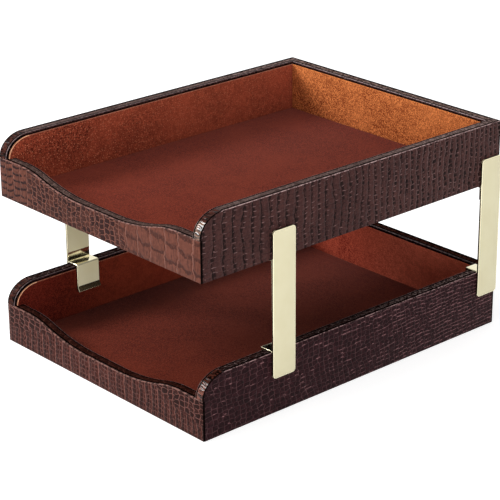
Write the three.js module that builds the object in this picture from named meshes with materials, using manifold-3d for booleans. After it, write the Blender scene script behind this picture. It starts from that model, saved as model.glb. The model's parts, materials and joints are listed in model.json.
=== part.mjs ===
// Double letter tray: two leather-wrapped trays, the upper one carried by four brass posts that clip over the
// side walls of the lower one. Millimetres, X to the right, Y to the back, Z up, the table at Z = 0.
import * as THREE from "three";
import Module from "manifold-3d";

const wasm = await Module();
wasm.setup();

// Outer sizes of one tray
const TRAY_WIDTH = 250;
const TRAY_LENGTH = 325;
const WALL_HEIGHT = 52;
const FRONT_HEIGHT = 33.5;
const CORNER_RADIUS = 2.5;

// The upper tray's underside above the lower tray's underside
const TRAY_PITCH = 129;

// Layers of a wall and of the floor
const LEATHER = 1.2;
const WALL_BOARD = 6.8;
const LINING = 1.5;
const FELT = 1.2;
const FLOOR_BOARD = 6.3;
const GLUE_GAP = 0.3;
const FLOOR_LINING_CLEARANCE = 0.2;

// The rounded front end of a side wall
const NOSE_DEPTH = 23;
const NOSE_STEPS = 14;

// How far the lining's top edge stays under the leather rim
const LINING_DROP = 2.4;
const FRONT_LINING_DROP = 1.2;

// The dip along the top of the front wall, for the hand
const SCOOP_DEPTH = 11.3;
const SCOOP_FLAT = 38;
const SCOOP_HOLLOW_RADIUS = 189;
const SCOOP_SHOULDER_RADIUS = 90;
const SCOOP_STEPS = 7;

// The strap of a post
const STRAP_WIDTH = 23.2;
const STRAP_THICKNESS = 2;
const STRAP_BOTTOM = 30.2;
const STRAP_OVER_UPPER_TRAY = 23.3;
const STRAP_CORNER = 3;
const STRAP_CORNER_STEPS = 5;
const STRAP_CLEARANCE = 0.2;

// The clip that hooks over the lower tray's side wall
const CLIP_THICKNESS = 1.6;
const CLIP_CLEARANCE = 0.1;
const CLIP_BEND = 1;
const CLIP_TAB_LENGTH = 19.9;
const CLIP_LIP_LENGTH = 5;
const CLIP_LIP_ANGLE = THREE.MathUtils.degToRad(28);
const CLIP_END_CLEARANCE = 0.6;

// The ledge that carries the upper tray
const LEDGE_THICKNESS = 1.6;
const LEDGE_DEPTH = 14;
const LEDGE_FLANGE = 12;
const LEDGE_SIDE_INSET = 1;

// Front edge of each front strap, from the front of the trays; the back straps end flush with the back
const RIGHT_STRAP_START = 69.2;
const LEFT_STRAP_START = 64;

// Sizes that follow from the ones above
const WALL = WALL_BOARD + 2 * LEATHER;
const HALF_WIDTH = TRAY_WIDTH / 2;
const FRONT = -TRAY_LENGTH / 2;
const BACK = TRAY_LENGTH / 2;
const INNER_X = HALF_WIDTH - WALL;
const INNER_FRONT = FRONT + WALL;
const INNER_BACK = BACK - WALL;
const LINED_X = INNER_X - LINING;
const FLOOR_BOARD_TOP = FELT + FLOOR_BOARD;
const FLOOR_TOP = FLOOR_BOARD_TOP + LINING;
const NOSE_RISE = WALL_HEIGHT - FRONT_HEIGHT;
const NOSE_CENTRE = FRONT + NOSE_DEPTH;
const OPEN_END = 5;

const materials = {
  embossedLeather: new THREE.MeshStandardMaterial({ color: 0x5a3c36, roughness: 0.45, metalness: 0 }),
  suedeLining: new THREE.MeshStandardMaterial({ color: 0x8a4424, roughness: 0.9, metalness: 0 }),
  polishedBrass: new THREE.MeshStandardMaterial({ color: 0xded6aa, roughness: 0.2, metalness: 1 }),
  fibreboard: new THREE.MeshStandardMaterial({ color: 0x8c7355, roughness: 0.85, metalness: 0 }),
  blackFelt: new THREE.MeshStandardMaterial({ color: 0x1c1a1a, roughness: 1, metalness: 0 }),
};

const part = new THREE.Group();
part.name = "double_letter_tray";

// Turns a three.js geometry into a solid for boolean work.
function solidOf(geometry) {
  const flat = geometry.index ? geometry.toNonIndexed() : geometry;
  const positions = flat.getAttribute("position");
  const keys = new Map();
  const vertices = [];
  const corners = [];
  for (let i = 0; i < positions.count; i++) {
    const point = [positions.getX(i), positions.getY(i), positions.getZ(i)];
    const key = point.map((value) => Math.round(value * 1e4)).join(",");
    if (!keys.has(key)) {
      keys.set(key, keys.size);
      vertices.push(...point);
    }
    corners.push(keys.get(key));
  }
  const triangles = [];
  for (let i = 0; i < corners.length; i += 3) {
    const [a, b, c] = corners.slice(i, i + 3);
    if (a !== b && b !== c && c !== a) triangles.push(a, b, c);
  }
  const mesh = new wasm.Mesh({
    numProp: 3,
    vertProperties: new Float32Array(vertices),
    triVerts: new Uint32Array(triangles),
  });
  return new wasm.Manifold(mesh);
}

// Turns a solid back into a geometry and adds it to the part as a named mesh, raised by lift.
function addNode(name, material, solid, lift = 0) {
  const mesh = solid.getMesh();
  const positions = new Float32Array(mesh.numVert * 3);
  for (let i = 0; i < mesh.numVert; i++) {
    for (let k = 0; k < 3; k++) positions[3 * i + k] = mesh.vertProperties[mesh.numProp * i + k];
    positions[3 * i + 2] += lift;
  }
  const geometry = new THREE.BufferGeometry();
  geometry.setAttribute("position", new THREE.BufferAttribute(positions, 3));
  geometry.setIndex(new THREE.BufferAttribute(new Uint32Array(mesh.triVerts), 1));
  geometry.computeVertexNormals();
  const node = new THREE.Mesh(geometry, material);
  node.name = name;
  part.add(node);
}

function box(x0, x1, y0, y1, z0, z1) {
  const geometry = new THREE.BoxGeometry(Math.abs(x1 - x0), y1 - y0, z1 - z0);
  geometry.translate((x0 + x1) / 2, (y0 + y1) / 2, (z0 + z1) / 2);
  return solidOf(geometry);
}

// Points of an elliptical arc, both ends included.
function arc(centreA, centreB, radiusA, radiusB, from, to, steps) {
  const points = [];
  for (let i = 0; i <= steps; i++) {
    const angle = from + ((to - from) * i) / steps;
    points.push([centreA + radiusA * Math.cos(angle), centreB + radiusB * Math.sin(angle)]);
  }
  return points;
}

function shapeOf(points) {
  const kept = points.filter((point, i) => {
    const before = points[(i + points.length - 1) % points.length];
    return Math.hypot(point[0] - before[0], point[1] - before[1]) > 1e-4;
  });
  return new THREE.Shape(kept.map(([a, b]) => new THREE.Vector2(a, b)));
}

// A shape drawn as (y, z), pulled along X.
function alongX(points, x0, x1) {
  const low = Math.min(x0, x1);
  const geometry = new THREE.ExtrudeGeometry(shapeOf(points), { depth: Math.abs(x1 - x0), bevelEnabled: false });
  const axes = [new THREE.Vector3(0, 1, 0), new THREE.Vector3(0, 0, 1), new THREE.Vector3(1, 0, 0)];
  geometry.applyMatrix4(new THREE.Matrix4().makeBasis(...axes));
  geometry.translate(low, 0, 0);
  return solidOf(geometry);
}

// A shape drawn as (x, z), pulled along Y.
function alongY(points, y0, y1) {
  const geometry = new THREE.ExtrudeGeometry(shapeOf(points), { depth: y1 - y0, bevelEnabled: false });
  const axes = [new THREE.Vector3(1, 0, 0), new THREE.Vector3(0, 0, 1), new THREE.Vector3(0, -1, 0)];
  geometry.applyMatrix4(new THREE.Matrix4().makeBasis(...axes));
  geometry.translate(0, y1, 0);
  return solidOf(geometry);
}

// The tray's plan with its rounded corners, tall enough to trim any wall.
function roundedPlan() {
  const cx = HALF_WIDTH - CORNER_RADIUS;
  const cy = BACK - CORNER_RADIUS;
  const quarter = Math.PI / 2;
  const corners = [[cx, -cy, -1], [cx, cy, 0], [-cx, cy, 1], [-cx, -cy, 2]];
  const points = corners.flatMap(([x, y, turn]) =>
    arc(x, y, CORNER_RADIUS, CORNER_RADIUS, turn * quarter, (turn + 1) * quarter, 4),
  );
  const geometry = new THREE.ExtrudeGeometry(shapeOf(points), { depth: WALL_HEIGHT + 2, bevelEnabled: false });
  geometry.translate(0, 0, -1);
  return solidOf(geometry);
}

// A side wall's outline in (y, z). The nose is inset on its curve and top alone; the foot keeps to its own ends.
function sideOutline({ inset, bottom, foot, back }) {
  return [
    [foot, bottom],
    [back, bottom],
    [back, WALL_HEIGHT - inset],
    ...arc(NOSE_CENTRE, FRONT_HEIGHT, NOSE_DEPTH - inset, NOSE_RISE - inset, Math.PI / 2, Math.PI, NOSE_STEPS),
    [foot, FRONT_HEIGHT],
  ];
}

// The front wall's outline in (x, z), with the scooped top lowered by drop.
function frontOutline({ drop, bottom, halfWidth }) {
  const top = FRONT_HEIGHT - drop;
  const turn = Math.acos(1 - SCOOP_DEPTH / (SCOOP_HOLLOW_RADIUS + SCOOP_SHOULDER_RADIUS));
  const flat = SCOOP_FLAT / 2;
  const end = flat + (SCOOP_HOLLOW_RADIUS + SCOOP_SHOULDER_RADIUS) * Math.sin(turn);
  const up = Math.PI / 2;
  const hollow = top - SCOOP_DEPTH + SCOOP_HOLLOW_RADIUS;
  const shoulder = top - SCOOP_SHOULDER_RADIUS;
  const half = [
    ...arc(end, shoulder, SCOOP_SHOULDER_RADIUS, SCOOP_SHOULDER_RADIUS, up, up + turn, SCOOP_STEPS),
    ...arc(flat, hollow, SCOOP_HOLLOW_RADIUS, SCOOP_HOLLOW_RADIUS, turn - up, -up, SCOOP_STEPS),
  ];
  const otherHalf = half.map(([x, z]) => [-x, z]).reverse();
  return [[-halfWidth, bottom], [halfWidth, bottom], [halfWidth, top], ...half, ...otherHalf, [-halfWidth, top]];
}

function addSideWall(tray, name, side, lift, plan) {
  const outer = side * HALF_WIDTH;
  const inner = side * INNER_X;
  const hidden = LEATHER + GLUE_GAP;
  const wrap = alongX(sideOutline({ inset: 0, bottom: 0, foot: FRONT + LEATHER, back: BACK - LEATHER }), outer, inner);
  const pocket = alongX(
    sideOutline({ inset: LEATHER, bottom: LEATHER, foot: FRONT - OPEN_END, back: BACK + OPEN_END }),
    outer - side * LEATHER,
    inner + side * LEATHER,
  );
  const board = alongX(
    sideOutline({ inset: hidden, bottom: hidden, foot: FRONT + hidden, back: BACK - hidden }),
    outer - side * hidden,
    inner + side * hidden,
  );
  const lining = alongX(
    sideOutline({ inset: LINING_DROP, bottom: FLOOR_BOARD_TOP, foot: INNER_FRONT, back: INNER_BACK }),
    inner,
    inner - side * LINING,
  );
  addNode(`${tray}_${name}_board`, materials.fibreboard, board, lift);
  addNode(`${tray}_${name}_leather`, materials.embossedLeather, wrap.subtract(pocket).intersect(plan), lift);
  addNode(`${tray}_${name}_lining`, materials.suedeLining, lining, lift);
}

// The plate of leather that covers the ends of the side walls beside a front or back wall.
function endPlates(y0, y1, height) {
  return box(INNER_X, HALF_WIDTH, y0, y1, 0, height).add(box(-HALF_WIDTH, -INNER_X, y0, y1, 0, height));
}

function addFrontWall(tray, lift, plan) {
  const hidden = LEATHER + GLUE_GAP;
  const wrap = alongY(frontOutline({ drop: 0, bottom: 0, halfWidth: INNER_X }), FRONT, INNER_FRONT);
  const pocket = alongY(
    frontOutline({ drop: LEATHER, bottom: LEATHER, halfWidth: INNER_X + OPEN_END }),
    FRONT + LEATHER,
    INNER_FRONT - LEATHER,
  );
  const board = alongY(
    frontOutline({ drop: hidden, bottom: hidden, halfWidth: INNER_X - GLUE_GAP }),
    FRONT + hidden,
    INNER_FRONT - hidden,
  );
  const lining = alongY(
    frontOutline({ drop: FRONT_LINING_DROP, bottom: FLOOR_BOARD_TOP, halfWidth: LINED_X }),
    INNER_FRONT,
    INNER_FRONT + LINING,
  );
  const leather = wrap.subtract(pocket).add(endPlates(FRONT, FRONT + LEATHER, FRONT_HEIGHT));
  addNode(`${tray}_front_board`, materials.fibreboard, board, lift);
  addNode(`${tray}_front_leather`, materials.embossedLeather, leather.intersect(plan), lift);
  addNode(`${tray}_front_lining`, materials.suedeLining, lining, lift);
}

function addBackWall(tray, lift, plan) {
  const hidden = LEATHER + GLUE_GAP;
  const wrap = box(-INNER_X, INNER_X, INNER_BACK, BACK, 0, WALL_HEIGHT);
  const pocketX = INNER_X + OPEN_END;
  const pocket = box(-pocketX, pocketX, INNER_BACK + LEATHER, BACK - LEATHER, LEATHER, WALL_HEIGHT - LEATHER);
  const boardX = INNER_X - GLUE_GAP;
  const board = box(-boardX, boardX, INNER_BACK + hidden, BACK - hidden, hidden, WALL_HEIGHT - hidden);
  const lining = box(-LINED_X, LINED_X, INNER_BACK - LINING, INNER_BACK, FLOOR_BOARD_TOP, WALL_HEIGHT - LINING_DROP);
  const leather = wrap.subtract(pocket).add(endPlates(BACK - LEATHER, BACK, WALL_HEIGHT));
  addNode(`${tray}_back_board`, materials.fibreboard, board, lift);
  addNode(`${tray}_back_leather`, materials.embossedLeather, leather.intersect(plan), lift);
  addNode(`${tray}_back_lining`, materials.suedeLining, lining, lift);
}

function addFloor(tray, lift) {
  const sheet = (inset, z0, z1) =>
    box(inset - INNER_X, INNER_X - inset, INNER_FRONT + inset, INNER_BACK - inset, z0, z1);
  addNode(`${tray}_base_felt`, materials.blackFelt, sheet(0, 0, FELT), lift);
  addNode(`${tray}_floor_board`, materials.fibreboard, sheet(0, FELT, FLOOR_BOARD_TOP), lift);
  const lining = sheet(LINING + FLOOR_LINING_CLEARANCE, FLOOR_BOARD_TOP, FLOOR_TOP);
  addNode(`${tray}_floor_lining`, materials.suedeLining, lining, lift);
}

function addTray(tray, lift) {
  const plan = roundedPlan();
  addFloor(tray, lift);
  addFrontWall(tray, lift, plan);
  addBackWall(tray, lift, plan);
  addSideWall(tray, "left", -1, lift, plan);
  addSideWall(tray, "right", 1, lift, plan);
}

// The clip's section as (distance in from the wall's outer face, height).
function clipSection() {
  const top = WALL_HEIGHT + CLIP_THICKNESS;
  const face = WALL + LINING + CLIP_CLEARANCE + CLIP_THICKNESS;
  const bend = top - CLIP_TAB_LENGTH;
  const sin = Math.sin(CLIP_LIP_ANGLE);
  const cos = Math.cos(CLIP_LIP_ANGLE);
  const lipEnd = [face + CLIP_LIP_LENGTH * sin, bend - CLIP_LIP_LENGTH * cos];
  return [
    [-STRAP_CLEARANCE, WALL_HEIGHT],
    [-STRAP_CLEARANCE, top],
    ...arc(face - CLIP_BEND, top - CLIP_BEND, CLIP_BEND, CLIP_BEND, Math.PI / 2, 0, 3),
    [face, bend],
    lipEnd,
    [lipEnd[0] - CLIP_THICKNESS * cos, lipEnd[1] - CLIP_THICKNESS * sin],
    [face - CLIP_THICKNESS, bend - CLIP_THICKNESS * Math.tan(CLIP_LIP_ANGLE / 2)],
    [face - CLIP_THICKNESS, WALL_HEIGHT],
  ];
}

// The ledge's section, drawn the same way.
function ledgeSection() {
  const top = TRAY_PITCH;
  const under = top - LEDGE_THICKNESS;
  return [
    [-STRAP_CLEARANCE, top],
    [-STRAP_CLEARANCE, top - LEDGE_FLANGE],
    [LEDGE_THICKNESS - STRAP_CLEARANCE, top - LEDGE_FLANGE],
    [LEDGE_THICKNESS - STRAP_CLEARANCE, under],
    [LEDGE_DEPTH, under],
    [LEDGE_DEPTH, top],
  ];
}

function strapOutline(start) {
  const low = STRAP_BOTTOM + STRAP_CORNER;
  const high = TRAY_PITCH + STRAP_OVER_UPPER_TRAY - STRAP_CORNER;
  const near = start + STRAP_CORNER;
  const far = start + STRAP_WIDTH - STRAP_CORNER;
  const quarter = Math.PI / 2;
  const corners = [[far, low, -1], [far, high, 0], [near, high, 1], [near, low, 2]];
  return corners.flatMap(([y, z, turn]) =>
    arc(y, z, STRAP_CORNER, STRAP_CORNER, turn * quarter, (turn + 1) * quarter, STRAP_CORNER_STEPS),
  );
}

// One post: the strap stands outside the wall, start is its front edge and clipEnd the back end of its clip.
function addPost(name, side, start, clipEnd) {
  const inFromWall = (section) => section.map(([depth, z]) => [side * (HALF_WIDTH - depth), z]);
  const strapFace = HALF_WIDTH + STRAP_CLEARANCE;
  const strap = alongX(strapOutline(start), side * strapFace, side * (strapFace + STRAP_THICKNESS));
  const clip = alongY(inFromWall(clipSection()), start, clipEnd);
  const ledgeStart = start + LEDGE_SIDE_INSET;
  const ledgeEnd = start + STRAP_WIDTH - LEDGE_SIDE_INSET;
  const ledge = alongY(inFromWall(ledgeSection()), ledgeStart, ledgeEnd);
  addNode(`${name}_strap`, materials.polishedBrass, strap);
  addNode(`${name}_clip`, materials.polishedBrass, clip);
  addNode(`${name}_ledge`, materials.polishedBrass, ledge);
}

addTray("lower", 0);
addTray("upper", TRAY_PITCH);

const rightStart = FRONT + RIGHT_STRAP_START;
const leftStart = FRONT + LEFT_STRAP_START;
const backStart = BACK - STRAP_WIDTH;
const backClipEnd = INNER_BACK - LINING - CLIP_END_CLEARANCE;
addPost("post_front_right", 1, rightStart, rightStart + STRAP_WIDTH);
addPost("post_front_left", -1, leftStart, leftStart + STRAP_WIDTH);
addPost("post_back_right", 1, backStart, backClipEnd);
addPost("post_back_left", -1, backStart, backClipEnd);

export default part;
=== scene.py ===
"""Finishes the double letter tray: embossed leather on every wall, suede linings, brass posts."""
import json
import math
import random
from collections import namedtuple

import bmesh
import bpy
from mathutils import Matrix, Vector

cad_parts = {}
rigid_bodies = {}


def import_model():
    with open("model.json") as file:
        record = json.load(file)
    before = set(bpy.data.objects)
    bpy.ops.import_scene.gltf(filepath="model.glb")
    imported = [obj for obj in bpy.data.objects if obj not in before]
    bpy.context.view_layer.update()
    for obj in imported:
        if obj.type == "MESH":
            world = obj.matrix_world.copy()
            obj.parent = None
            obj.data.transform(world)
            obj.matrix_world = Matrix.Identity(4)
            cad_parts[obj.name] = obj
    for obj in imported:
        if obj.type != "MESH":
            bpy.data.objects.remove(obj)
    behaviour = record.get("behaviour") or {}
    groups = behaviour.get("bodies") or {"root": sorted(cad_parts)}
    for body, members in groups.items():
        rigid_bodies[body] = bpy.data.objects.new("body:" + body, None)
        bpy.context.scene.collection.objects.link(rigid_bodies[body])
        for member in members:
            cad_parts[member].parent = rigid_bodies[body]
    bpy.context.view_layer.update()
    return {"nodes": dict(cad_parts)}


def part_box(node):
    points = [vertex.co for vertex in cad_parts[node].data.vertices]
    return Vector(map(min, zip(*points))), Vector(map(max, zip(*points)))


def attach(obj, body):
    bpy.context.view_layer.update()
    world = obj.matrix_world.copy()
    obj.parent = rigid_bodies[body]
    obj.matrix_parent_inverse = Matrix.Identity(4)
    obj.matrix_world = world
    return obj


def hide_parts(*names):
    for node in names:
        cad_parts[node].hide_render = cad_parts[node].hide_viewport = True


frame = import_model()

MM = 0.001

# Sizes read from the frame, in metres
side_low, side_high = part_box("lower_right_leather")
front_low, front_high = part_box("lower_front_leather")
HALF_WIDTH = side_high.x
INNER_X = side_low.x
WALL = HALF_WIDTH - INNER_X
WALL_HEIGHT = side_high.z
FRONT = front_low.y
FRONT_HEIGHT = front_high.z
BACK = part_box("lower_back_leather")[1].y
TRAY_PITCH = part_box("upper_right_leather")[0].z

# Sizes of the leather work
LEATHER = 1.2 * MM
NOSE_DEPTH = 23 * MM
NOSE_RISE = WALL_HEIGHT - FRONT_HEIGHT
NOSE_CENTRE = FRONT + NOSE_DEPTH
NOSE_STEPS = 72
NOSE_FRONT_TOP = FRONT_HEIGHT + 0.68 * NOSE_RISE
BAND_STRIPS = 6
SCOOP_DEPTH = 11.3 * MM
SCOOP_FLAT = 38 * MM
SCOOP_HOLLOW_RADIUS = 189 * MM
SCOOP_SHOULDER_RADIUS = 90 * MM
SCOOP_STEPS = 34
EASED_EDGE = 0.6 * MM
BEAD = 1.3 * MM
INNER_BEAD = 0.7 * MM
SEAM_WIDTH = 1.5 * MM
INNER_SEAM_WIDTH = 1.0 * MM
SEAM_DEPTH = 0.7 * MM
SHADE_TOP = WALL_HEIGHT - 1.5 * MM
PLEAT_PITCH = 4.4 * MM
PLEAT_DEPTH = 0.9 * MM
PLEAT_RADIUS = 21 * MM
PLEAT_SWING = 1.3

# Rounding of the linings and of the brass, and levels of the brass work
SUEDE_ROUNDING = 0.55 * MM
BRASS_ROUNDING = {"strap": 0.5 * MM, "clip": 0.45 * MM, "ledge": 0.3 * MM}
FOOT_TOP = WALL_HEIGHT + 9 * MM
LIP_TOP = WALL_HEIGHT - 10 * MM

# Angles that count as flat, as a sharp edge and as a shaded edge, in degrees
FLAT_ANGLE = 0.5
SHARP_ANGLE = 32
HIDE_SHADE_ANGLE = 40
BRASS_SHADE_ANGLE = 25

# Material slots of a hide, of a side lining and of the brass
ON_FACES, ON_RIM, ON_EDGE, ON_SEAM_AND_SHADE, ON_NOSE_TOP, ON_INNER_EDGE, ON_NOSE_FRONT = range(7)
ON_NAP, ON_TOP_HIGHLIGHT = 0, 2
ON_PAINTED_SHADE, ON_PAINTED_LIGHT, ON_MIRROR = 1, 2, 3

# Light that the floor and the sky give
FLOOR_GLOW = 0.56
SKY_LIGHT = 0.42
SKY_GLOW = 0.58

CAMERA_YAW = math.radians(48.18)
CAMERA_PITCH = math.radians(22.15)
CAMERA_ROLL = math.radians(-0.36)
CAMERA_DISTANCE = 1.6192
CAMERA_AIM = Vector((0, 0, 0.0849))
CAMERA_RIGHT = -0.0021
CAMERA_UP = -0.0102
CAMERA_LENS = 140.3

WALLS = ["right", "left", "front", "back"]
POSTS = ["post_front_right", "post_front_left", "post_back_right", "post_back_left"]


# Shader nodes

class Shader:
    """One material, with short calls that add its nodes. The functions below call theirs s."""

    def __init__(self, name):
        self.material = bpy.data.materials.new(name)
        self.material.use_nodes = True
        self.tree = self.material.node_tree
        self.surface = self.tree.nodes["Principled BSDF"]
        self.place = self.add("ShaderNodeTexCoord").outputs["Object"]
        split = self.add("ShaderNodeSeparateXYZ")
        self.feed(split.inputs[0], self.place)
        self.x, self.y, self.z = split.outputs

    def add(self, kind, **settings):
        node = self.tree.nodes.new(kind)
        for key, value in settings.items():
            setattr(node, key, value)
        return node

    def feed(self, socket, value):
        """Links a node's output to the socket, or sets a plain value."""
        if isinstance(value, bpy.types.NodeSocket):
            self.tree.links.new(value, socket)
        else:
            socket.default_value = value

    def math(self, operation, a, b=0.0, c=0.0):
        node = self.add("ShaderNodeMath", operation=operation)
        for socket, value in zip(node.inputs, (a, b, c)):
            self.feed(socket, value)
        return node.outputs[0]

    def plus(self, a, b):
        return self.math("ADD", a, b)

    def times(self, a, b):
        return self.math("MULTIPLY", a, b)

    def larger(self, a, b):
        return self.math("MAXIMUM", a, b)

    def ramp(self, value, low, high, start=0.0, stop=1.0):
        """Carries a value from the range low to high over to start to stop, smoothly."""
        node = self.add("ShaderNodeMapRange", interpolation_type="SMOOTHSTEP")
        for key, number in (("Value", value), ("From Min", low), ("From Max", high),
                            ("To Min", start), ("To Max", stop)):
            self.feed(node.inputs[key], number)
        return node.outputs["Result"]

    def pair(self, a, b, c=0.0):
        """Two or three numbers as one place."""
        node = self.add("ShaderNodeCombineXYZ")
        for socket, value in zip(node.inputs, (a, b, c)):
            self.feed(socket, value)
        return node.outputs[0]

    def noise(self, size, detail=2.0, roughness=0.5, stretch=(1, 1, 1)):
        """Noise whose features are about size across."""
        turn = self.add("ShaderNodeMapping")
        turn.inputs["Scale"].default_value = [1 / (size * share) for share in stretch]
        self.feed(turn.inputs["Vector"], self.place)
        node = self.add("ShaderNodeTexNoise")
        self.feed(node.inputs["Vector"], turn.outputs["Vector"])
        node.inputs["Scale"].default_value = 1.0
        node.inputs["Detail"].default_value = detail
        node.inputs["Roughness"].default_value = roughness
        return node.outputs["Fac"]

    def patches(self, size, low, high, start=0.0, stop=1.0, stretch=(1, 1, 1)):
        """Patches about size across: start where the noise is under low, stop where it is over high."""
        return self.ramp(self.noise(size, stretch=stretch), low, high, start, stop)

    def sway(self, size, reach, detail=1.0):
        """A shift to and fro by about reach, in swells of about size."""
        return self.times(self.plus(self.noise(size, detail), -0.5), 2 * reach)

    def chance(self, a, b=0.0):
        """A random number for each pair of whole numbers, other on the two sides of the tray."""
        side = self.math("SIGN", self.x)
        node = self.add("ShaderNodeTexWhiteNoise", noise_dimensions="3D")
        self.feed(node.inputs["Vector"], self.pair(a, b, side))
        return node.outputs["Value"]

    def cells(self, vector, randomness, feature="F1", flat=False):
        node = self.add("ShaderNodeTexVoronoi", feature=feature, voronoi_dimensions="2D" if flat else "3D")
        self.feed(node.inputs["Vector"], vector)
        node.inputs["Scale"].default_value = 1.0
        node.inputs["Randomness"].default_value = randomness
        return node.outputs

    def mix(self, share, a, b):
        """Colour a, with a share of colour b."""
        node = self.add("ShaderNodeMix", data_type="RGBA")
        self.feed(node.inputs[0], share)
        self.feed(node.inputs[6], a)
        self.feed(node.inputs[7], b)
        return node.outputs[2]

    def blend(self, share, a, b):
        """Number a, with a share of number b."""
        node = self.add("ShaderNodeMix", data_type="FLOAT")
        self.feed(node.inputs[0], share)
        self.feed(node.inputs[2], a)
        self.feed(node.inputs[3], b)
        return node.outputs[0]

    def bump(self, height, depth, strength=1.0, normal=None):
        node = self.add("ShaderNodeBump")
        node.inputs["Strength"].default_value = strength
        node.inputs["Distance"].default_value = depth
        self.feed(node.inputs["Height"], height)
        if normal is not None:
            self.feed(node.inputs["Normal"], normal)
        return node.outputs["Normal"]

    def finish(self, **values):
        names = {"color": "Base Color", "roughness": "Roughness", "metallic": "Metallic", "normal": "Normal",
                 "specular": "Specular IOR Level", "sheen": "Sheen Weight",
                 "sheen_roughness": "Sheen Roughness"}
        for key, value in values.items():
            self.feed(self.surface.inputs[names[key]], value)
        return self.material


def tint(red, green, blue):
    """A colour as the eye reads it, 0 to 255, turned into light."""
    def light(value):
        share = value / 255
        return share / 12.92 if share <= 0.04045 else ((share + 0.055) / 1.055) ** 2.4
    return (light(red), light(green), light(blue), 1.0)


# The embossing. Each pattern gives its grooves, its cross grooves, a tone for each scale and its height

Columns = namedtuple("Columns", "to_groove to_cross across above tone place")
Scales = namedtuple("Scales", "to_edge tone under")
Looks = namedtuple("Looks", "dark light groove cross")


def scale_columns(s, along, up, low, high, pitch_low, pitch_high, row,
                  sway=1.6 * MM, lean=0.3, shift=9.0, sag=0.0):
    """Columns of scales whose width changes evenly from low to high, and the same way on the other side
    of low, with rows that are shifted from column to column and sag between the grooves."""
    swaying = s.plus(s.sway(24 * MM, 2 * sway), s.sway(4.5 * MM, sway, 2))
    from_low = s.math("SUBTRACT", s.plus(along, swaying), low)
    curve = (1 / pitch_high - 1 / pitch_low) / (2 * (high - low))
    count = s.times(from_low, s.math("MULTIPLY_ADD", s.math("ABSOLUTE", from_low), curve, 1 / pitch_low))
    number = s.math("FLOOR", count)
    across = s.math("FRACT", count)
    to_groove = s.math("PINGPONG", count, 0.5)
    slope = s.times(s.plus(s.chance(number, 7.0), -0.5), 2 * lean)
    rows = s.plus(s.math("DIVIDE", up, row), s.times(s.chance(number), shift))
    rows = s.plus(rows, s.times(s.plus(across, -0.5), slope))
    rows = s.plus(rows, s.sway(7 * MM, 0.35, 2))
    rows = s.plus(rows, s.ramp(to_groove, 0.0, 0.5, 0, sag))
    to_cross = s.math("PINGPONG", rows, 0.5)
    above = s.math("FRACT", rows)
    tone = s.chance(number, s.math("FLOOR", rows))
    return Columns(to_groove, to_cross, across, above, tone, s.pair(count, rows))


def round_scales(s, place, loose=0.72):
    """Rounded scales, one to each square of the places, more or less loosely set. Under is how far a
    place lies below the middle of its scale."""
    to_edge = s.cells(place, loose, "DISTANCE_TO_EDGE", flat=True)[0]
    scale = s.cells(place, loose, flat=True)
    split = s.add("ShaderNodeSeparateColor")
    s.feed(split.inputs[0], scale["Color"])
    below = s.add("ShaderNodeVectorMath", operation="SUBTRACT")
    s.feed(below.inputs[0], scale["Position"])
    s.feed(below.inputs[1], place)
    under = s.add("ShaderNodeSeparateXYZ")
    s.feed(under.inputs[0], below.outputs[0])
    rounding = s.ramp(scale["Distance"], 0.45, 0.7, 1, 0.6)
    return Scales(s.times(to_edge, rounding), split.outputs[0], under.outputs[1])


def scale_places(s, along, up, size, stretch=1.12):
    """Places counted in scales of a size, stretch times as long as they are high."""
    across = s.plus(s.math("DIVIDE", along, size * stretch), s.sway(9 * MM, 0.35))
    return s.pair(across, s.math("DIVIDE", up, size))


def glaze(s, tone, groove, cross, height, looks):
    """Colours and relief of the glazed hide: a tone for each scale, its grooves, cross grooves and grain."""
    mottle = s.noise(2.4 * MM, 3, 0.6)
    grain = s.noise(0.4 * MM)
    shade = s.plus(s.times(tone, 0.5), s.times(s.ramp(mottle, 0.3, 0.7), 0.5))
    color = s.mix(shade, looks.dark, looks.light)
    color = s.mix(s.times(s.patches(32 * MM, 0.35, 0.7), 0.3), color, looks.light)
    color = s.mix(cross, color, looks.cross)
    color = s.mix(groove, color, looks.groove)
    normal = s.bump(grain, 0.04 * MM, 0.5)
    normal = s.bump(mottle, 0.1 * MM, 0.5, normal)
    normal = s.bump(height, 0.55 * MM, 1.0, normal)
    rough = s.plus(s.ramp(mottle, 0.25, 0.75, 0.34, 0.5), s.times(groove, 0.2))
    return s.finish(color=color, roughness=rough, specular=0.05, normal=normal)


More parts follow.
